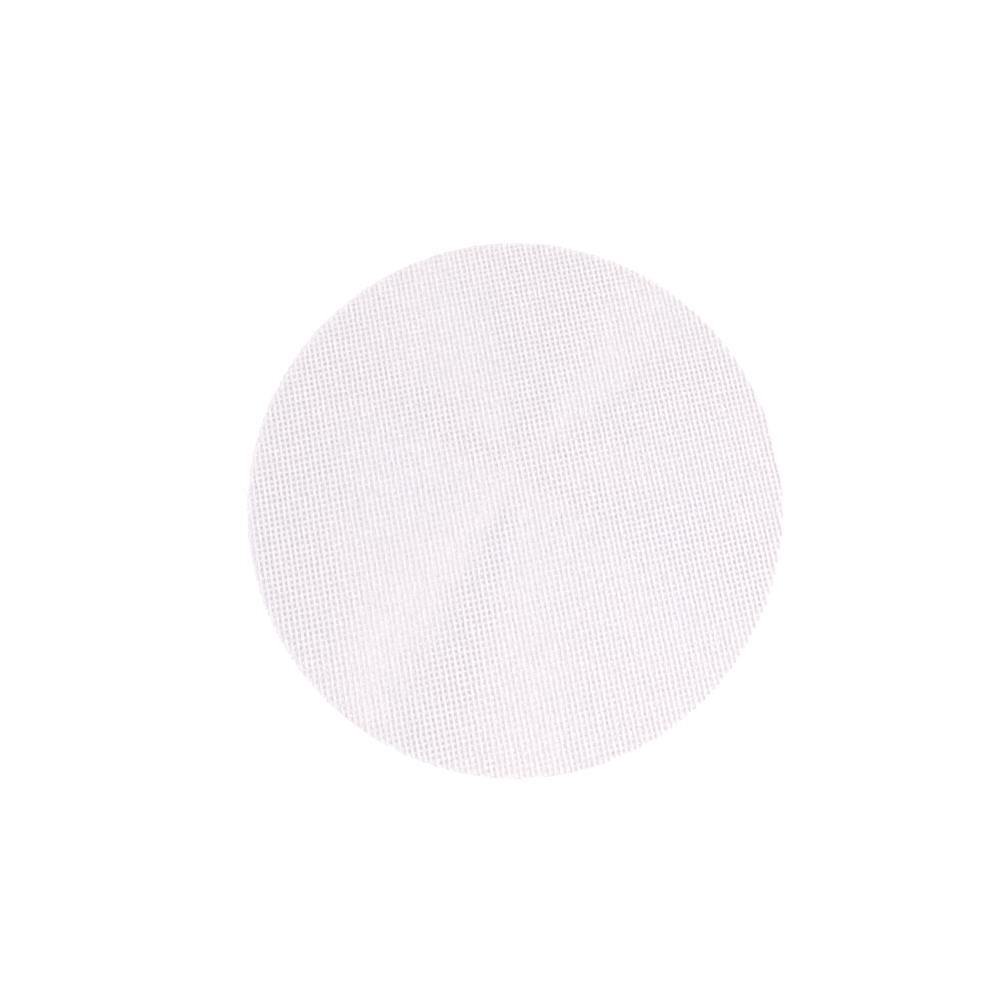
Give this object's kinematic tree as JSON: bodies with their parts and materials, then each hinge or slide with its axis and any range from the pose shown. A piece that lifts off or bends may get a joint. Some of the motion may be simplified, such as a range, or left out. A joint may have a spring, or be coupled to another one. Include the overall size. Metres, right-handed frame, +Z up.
{
  "type": "steamer mat",
  "caption": "Round white open-mesh mat of silicone-coated cords that lines a steamer basket, lets steam through and keeps food from sticking.",
  "frame": {"origin": "centre of the mat's underside, where it rests on a steamer tray", "axes": "+Z up out of the food face, +Y along the warp, +X along the weft"},
  "size_m": [0.28, 0.28, 0.0011],
  "materials": {
    "warp_silicone": "satin",
    "weft_silicone": "satin"
  },
  "bodies": {
    "root": {"ground_warp_01": "warp_silicone", "ground_warp_02": "warp_silicone", "ground_warp_03": "warp_silicone", "ground_warp_04": "warp_silicone", "ground_warp_05": "warp_silicone", "ground_warp_06": "warp_silicone", "ground_warp_07": "warp_silicone", "ground_warp_08": "warp_silicone", "ground_warp_09": "warp_silicone", "ground_warp_10": "warp_silicone", "ground_warp_11": "warp_silicone", "ground_warp_12": "warp_silicone", "ground_warp_13": "warp_silicone", "ground_warp_14": "warp_silicone", "ground_warp_15": "warp_silicone", "ground_warp_16": "warp_silicone", "ground_warp_17": "warp_silicone", "ground_warp_18": "warp_silicone", "ground_warp_19": "warp_silicone", "weft_01": "weft_silicone", "weft_02": "weft_silicone", "weft_03": "weft_silicone", "weft_04": "weft_silicone", "weft_05": "weft_silicone", "weft_06": "weft_silicone", "weft_07": "weft_silicone", "weft_08": "weft_silicone", "weft_09": "weft_silicone", "weft_10": "weft_silicone", "weft_11": "weft_silicone", "weft_12": "weft_silicone", "weft_13": "weft_silicone", "weft_14": "weft_silicone", "weft_15": "weft_silicone", "weft_16": "weft_silicone", "weft_17": "weft_silicone", "crossing_warp_01": "warp_silicone", "crossing_warp_02": "warp_silicone", "crossing_warp_03": "warp_silicone", "crossing_warp_04": "warp_silicone", "crossing_warp_05": "warp_silicone", "crossing_warp_06": "warp_silicone", "crossing_warp_07": "warp_silicone", "crossing_warp_08": "warp_silicone", "crossing_warp_09": "warp_silicone", "crossing_warp_10": "warp_silicone", "crossing_warp_11": "warp_silicone", "crossing_warp_12": "warp_silicone", "crossing_warp_13": "warp_silicone", "crossing_warp_14": "warp_silicone", "crossing_warp_15": "warp_silicone", "crossing_warp_16": "warp_silicone", "crossing_warp_17": "warp_silicone", "crossing_warp_18": "warp_silicone", "crossing_warp_19": "warp_silicone"}
  },
  "joints": []
}
